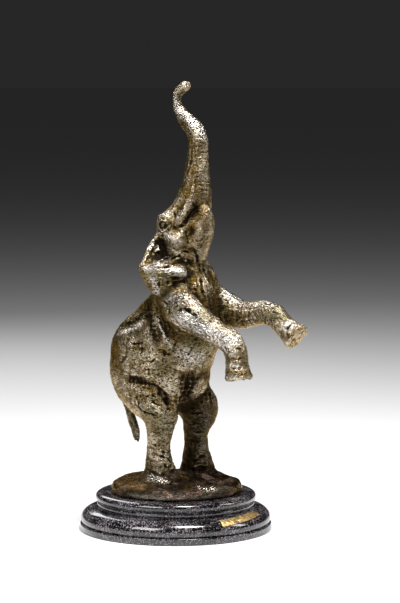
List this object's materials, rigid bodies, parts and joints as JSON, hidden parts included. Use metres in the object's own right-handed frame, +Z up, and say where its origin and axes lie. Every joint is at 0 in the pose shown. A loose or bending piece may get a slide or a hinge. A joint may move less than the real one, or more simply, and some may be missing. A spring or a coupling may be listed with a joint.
{
  "type": "bronze elephant sculpture",
  "caption": "Small cast elephant rearing on its hind legs with its trunk raised, on a round stepped stone plinth with a thin curved brass plaque.",
  "frame": {"origin": "centre of the plinth's flat underside", "axes": "+Z up, +X the way the elephant faces, +Y its left side"},
  "size_m": [0.2288, 0.1916, 0.4475],
  "materials": {
    "patinated_bronze": "rough cast bronze with a dark brown and ochre patina",
    "black_marble": "polished black marble with fine grey speckle",
    "worn_brass": "worn brass sheet"
  },
  "bodies": {
    "root": {"bronze_elephant": "patinated_bronze", "marble_plinth": "black_marble", "brass_plaque": "worn_brass"}
  },
  "joints": []
}
